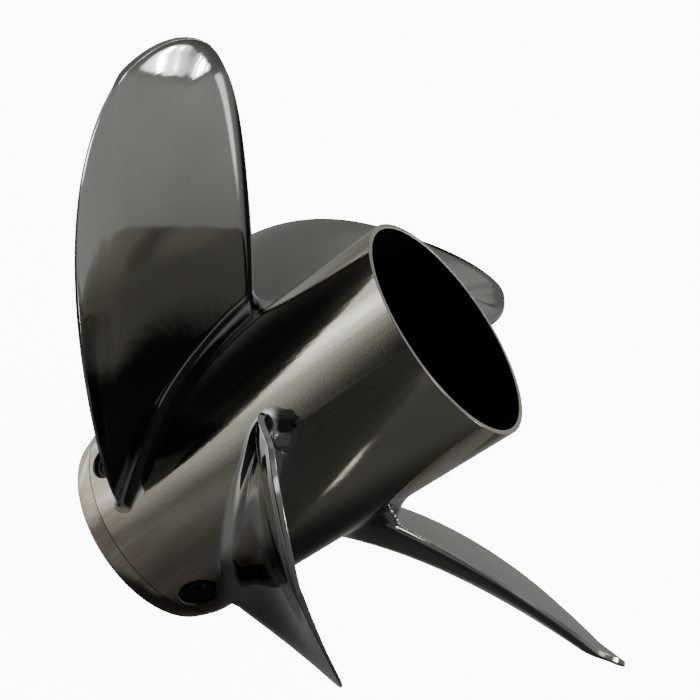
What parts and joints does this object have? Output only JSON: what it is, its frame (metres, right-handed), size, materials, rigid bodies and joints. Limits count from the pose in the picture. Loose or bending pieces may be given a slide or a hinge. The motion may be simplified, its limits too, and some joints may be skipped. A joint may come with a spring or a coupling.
{
  "type": "outboard propeller",
  "caption": "Polished stainless outboard propeller: raked, cupped blades on a wide tube hub that carries the exhaust, with vent holes near its front rim and a splined drive inside.",
  "frame": {"origin": "centre of the hub's front rim, on the shaft axis; the propeller stands on that rim", "axes": "+Z aft along the shaft axis; the middle of blade 1's root is at +X"},
  "size_m": [0.3606, 0.3606, 0.2009],
  "materials": {
    "polished_steel": "polished cast stainless steel with a faint lengthwise grain",
    "black_plastic": "moulded black plastic",
    "brass": "machined brass"
  },
  "bodies": {
    "root": {"barrel": "polished_steel", "blade_1": "polished_steel", "blade_2": "polished_steel", "blade_3": "polished_steel", "blade_4": "polished_steel", "inner_hub": "polished_steel", "rib_1": "polished_steel", "rib_2": "polished_steel", "rib_3": "polished_steel", "rib_4": "polished_steel", "drive_sleeve": "black_plastic", "spline_adapter": "brass", "vent_plug_1": "black_plastic", "vent_plug_2": "black_plastic", "vent_plug_3": "black_plastic", "vent_plug_4": "black_plastic"}
  },
  "joints": []
}
